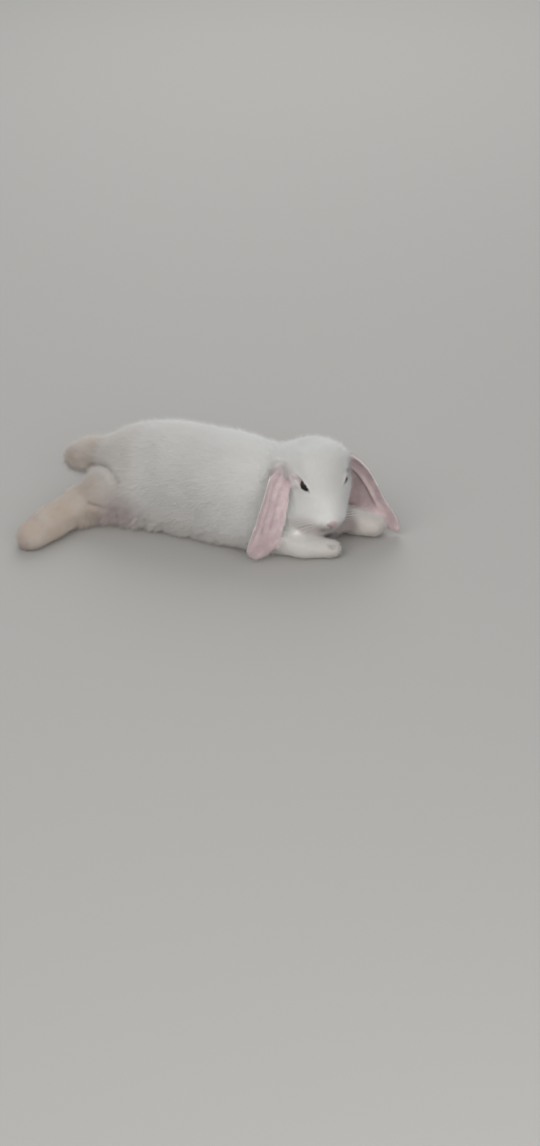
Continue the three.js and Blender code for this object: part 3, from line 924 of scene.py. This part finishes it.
def claw(root, forward):
    """One claw: a cone that points forward and curls down to its tip."""
    turn = Vector(forward).to_track_quat("Z", "Y").to_euler()
    bpy.ops.mesh.primitive_cone_add(
        vertices=10, radius1=CLAW_THICK, radius2=CLAW_THICK * 0.12, depth=CLAW_LONG,
        location=root + forward * CLAW_LONG / 2, rotation=turn,
    )
    bpy.ops.object.transform_apply()
    made = bpy.context.object
    work_on_all(bpy.ops.mesh.subdivide, number_cuts=3)
    spots = places(made)
    gone = np.clip((spots - root) @ forward / CLAW_LONG, 0, 1)
    spots[:, 2] = np.maximum(spots[:, 2] - CLAW_CURL * gone**2, 0.0005)
    put(made, spots)
    bpy.ops.object.shade_smooth()
    return made


PAWS = {
    "fore_right": (at(175, 20.8, 5.5), at(150, 11, 5.5)),
    "fore_left": (at(202, 84, 6.5), at(180, 83.5, 6.5)),
    "hind_right": (at(-168.5, -89, 6.5), at(-162, -62, 6.5)),
    "hind_left": (at(-158, 86.5, 4), at(-140, 82, 4)),
}
for name, (tip, heel) in PAWS.items():
    forward = unit(tip - heel)
    side = unit(np.cross((0, 0, 1), forward))
    bpy.ops.object.select_all(action="DESELECT")
    made = []
    for step in (-1.5, -0.5, 0.5, 1.5):
        root = tip + side * step * CLAW_SPACING - forward * (0.003 + 0.0015 * step**2)
        made.append(claw(root, unit(forward + side * CLAW_SPLAY * step)))
    take(*made)
    bpy.ops.object.join()
    claws = bpy.context.object
    claws.name = claws.data.name = "claws_" + name
    claws.data.materials.append(horn)
    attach(claws, "root")

# ---- whiskers -----------------------------------------------------------------------------
# Fine pale bristles from both whisker pads, that sweep back and down past the cheeks.

WHISKERS, WHISKER_THICK, WHISKER_STEPS = 9, 0.00016, 8  # on each side, radius, and steps along
WHISKER_LONG, WHISKER_SPREAD = 0.030, 0.010  # the shortest, and how much longer one can be
chance = np.random.default_rng(5)
skin_faces = [list(face.vertices) for face in skin.data.polygons]
tree_of_skin = BVHTree.FromPolygons(spots.tolist(), skin_faces)
points, faces = [], []
for sign in (-1, 1):
    for number in range(WHISKERS):
        guess = on_head(50 - 3.2 * (number % 3), sign * 14, -10 - 3.4 * (number // 3))
        root = np.array(tree_of_skin.find_nearest(Vector(guess))[0])
        long = WHISKER_LONG + WHISKER_SPREAD * chance.random()
        start = unit(sign * LEFTWARD + 0.15 * NOSEWARD + 0.1 * (1 - number // 3) * CROWNWARD)
        sweep = -0.55 * NOSEWARD - 0.35 * CROWNWARD + 0.15 * chance.normal(size=3)
        first = len(points)
        for step in range(WHISKER_STEPS + 1):
            t = step / WHISKER_STEPS
            middle = root + long * (t * start + 0.5 * t * t * sweep)
            middle[2] = max(middle[2], 0.001)
            thin = WHISKER_THICK * (1 - 0.85 * t)
            for turn in range(3):
                angle = 2 * math.pi * turn / 3
                around = math.cos(angle) * CROWNWARD + math.sin(angle) * NOSEWARD
                points.append(middle + thin * around)
        for step in range(WHISKER_STEPS):
            for turn in range(3):
                low, high = first + step * 3 + turn, first + step * 3 + (turn + 1) % 3
                faces.append((low, high, high + 3, low + 3))
        faces.append((first, first + 1, first + 2))
        faces.append(tuple(first + WHISKER_STEPS * 3 + turn for turn in (2, 1, 0)))
mesh = bpy.data.meshes.new("whiskers")
mesh.from_pydata([tuple(point) for point in points], [], faces)
whiskers = bpy.data.objects.new("whiskers", mesh)
bpy.context.collection.objects.link(whiskers)
take(whiskers)
work_on_all(bpy.ops.mesh.normals_make_consistent, inside=False)
bristle, tree, shader = new_material("bristle")
band = noise(tree, Scale=90.0, Detail=1.0)
tree.links.new(mix(tree, band, WHITE, GREY), shader.inputs["Base Color"])
shader.inputs["Roughness"].default_value = 0.4
mesh.materials.append(bristle)
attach(whiskers, "root")

# ---- floor and light ----------------------------------------------------------------------
# A plain pale floor, a soft window to the left of the viewer, a low light from the right, and
# a second window behind the animal.

FLOOR_WIDE = 12
FLOOR_COLOUR = (0.40, 0.38, 0.355, 1)
SKY_COLOUR, SKY_STRENGTH = (0.90, 0.95, 1.0, 1), 0.55
LAMPS = (  # name, place, side in metres, and watts
    ("window", (-0.5, -1.6, 1.9), 1.8, 18),
    ("bounce", (1.3, -1.4, 0.7), 1.6, 16),
    ("far_window", (-0.7, 1.9, 1.5), 1.8, 20),
)
LAMPS_AIM = Vector((0, 0, 0.05))

bpy.ops.object.select_all(action="DESELECT")
bpy.ops.mesh.primitive_plane_add(size=FLOOR_WIDE, location=(0, 0, 0))
floor = bpy.context.object
floor.name = "floor"
floor_look, tree, shader = new_material("pale_floor")
shader.inputs["Base Color"].default_value = FLOOR_COLOUR
shader.inputs["Roughness"].default_value = 0.7
floor.data.materials.append(floor_look)

world = bpy.data.worlds.new("room")
bpy.context.scene.world = world
world.use_nodes = True
background = world.node_tree.nodes["Background"]
background.inputs["Color"].default_value = SKY_COLOUR
background.inputs["Strength"].default_value = SKY_STRENGTH
for name, place, size, power in LAMPS:
    bpy.ops.object.light_add(type="AREA", location=place)
    lamp = bpy.context.object
    lamp.name = name
    lamp.data.size, lamp.data.energy = size, power
    lamp.rotation_euler = (LAMPS_AIM - Vector(place)).to_track_quat("-Z", "Y").to_euler()

bpy.context.scene.view_settings.view_transform = "Standard"
